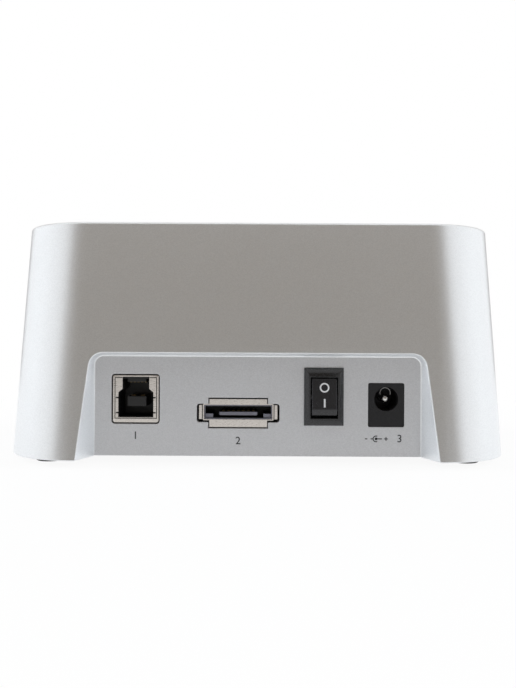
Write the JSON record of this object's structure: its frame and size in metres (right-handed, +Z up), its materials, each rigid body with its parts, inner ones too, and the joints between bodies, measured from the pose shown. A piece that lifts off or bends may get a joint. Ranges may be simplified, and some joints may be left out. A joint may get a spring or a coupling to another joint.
{
  "type": "hard drive docking station",
  "caption": "Silver box with leaning faces that takes an upright hard drive through a sprung flap; rear recess with a data socket, a drive link socket, a rocker switch and a power jack.",
  "frame": {"origin": "on the table, under the middle of the body's width and depth", "axes": "+Z up, +X along the width, +Y towards the back with the sockets and the switch, front towards -Y"},
  "size_m": [0.129, 0.084, 0.0618],
  "materials": {
    "silver_shell": "satin silver metallic paint",
    "silver_panel": "satin silver paint",
    "black_plastic": "moulded, fine grain",
    "deck_plastic": "moulded, fine grain",
    "flap_plastic": "moulded, fine grain",
    "button_plastic": "satin",
    "lever_plastic": "moulded",
    "rocker_plastic": "satin",
    "foot_rubber": "matte",
    "board_laminate": "solder resist",
    "chip_resin": "moulded resin",
    "ferrite": "matte",
    "can_aluminium": "satin",
    "steel": "satin",
    "spring_steel": "drawn wire",
    "socket_steel": "tinned",
    "gold": "plated",
    "lead_insulation": "insulation",
    "header_plastic": "moulded",
    "led_resin": "clear resin",
    "pipe_clear": "clear"
  },
  "bodies": {
    "housing": {"outer_shell": "silver_shell", "rear_panel": "silver_panel", "base_plate": "black_plastic", "rubber_feet": "foot_rubber", "base_screws": "steel", "top_deck": "deck_plastic", "deck_screws": "steel", "drive_well": "black_plastic", "flap_pin": "steel", "flap_springs": "spring_steel", "button_spring": "spring_steel", "lever_pin": "steel", "main_board": "board_laminate", "board_screws": "steel", "drive_socket": "black_plastic", "drive_socket_contacts": "gold", "usb_shell": "socket_steel", "usb_insert": "black_plastic", "usb_contacts": "gold", "link_shell": "socket_steel", "link_insert": "black_plastic", "link_contacts": "gold", "jack_housing": "black_plastic", "jack_pin": "socket_steel", "jack_spring": "spring_steel", "switch_frame": "black_plastic", "switch_terminals": "gold", "switch_leads": "lead_insulation", "lead_header": "header_plastic", "bridge_chip": "chip_resin", "regulators": "chip_resin", "capacitors": "can_aluminium", "inductors": "ferrite", "crystal": "socket_steel", "status_leds": "led_resin", "light_pipes": "pipe_clear"},
    "rocker": {"switch_rocker": "rocker_plastic"},
    "flap": {"flap_door": "flap_plastic"},
    "eject_button": {"eject_button": "button_plastic"},
    "eject_lever": {"eject_lever": "lever_plastic"}
  },
  "joints": [
    {"name": "rocker_tilt", "type": "hinge", "parent": "housing", "child": "rocker", "pos_m": [-0.0166, 0.0341, 0.01705], "axis": [-1, 0, 0], "range_deg": [0, 20]},
    {"name": "flap_hinge", "type": "hinge", "parent": "housing", "child": "flap", "pos_m": [0, -0.0162, 0.056], "axis": [-1, 0, 0], "range_deg": [0, 88], "stiffness_Nm_per_rad": 0.004, "springref_deg": -34.38, "deforming": ["flap_springs"]},
    {"name": "button_press", "type": "slide", "parent": "housing", "child": "eject_button", "axis": [0, 0, -1], "range_m": [0, 0.0036], "stiffness_N_per_m": 400, "springref_m": -0.002, "deforming": ["button_spring"]},
    {"name": "lever_tilt", "type": "hinge", "parent": "housing", "child": "eject_lever", "pos_m": [-0.0443, 0.0123, 0.0099], "axis": [-1, 0, 0], "range_deg": [0, 33]}
  ],
  "couplings": [
    {"joint": "lever_tilt", "follows": "button_press", "rad_per_m": 155.1}
  ]
}
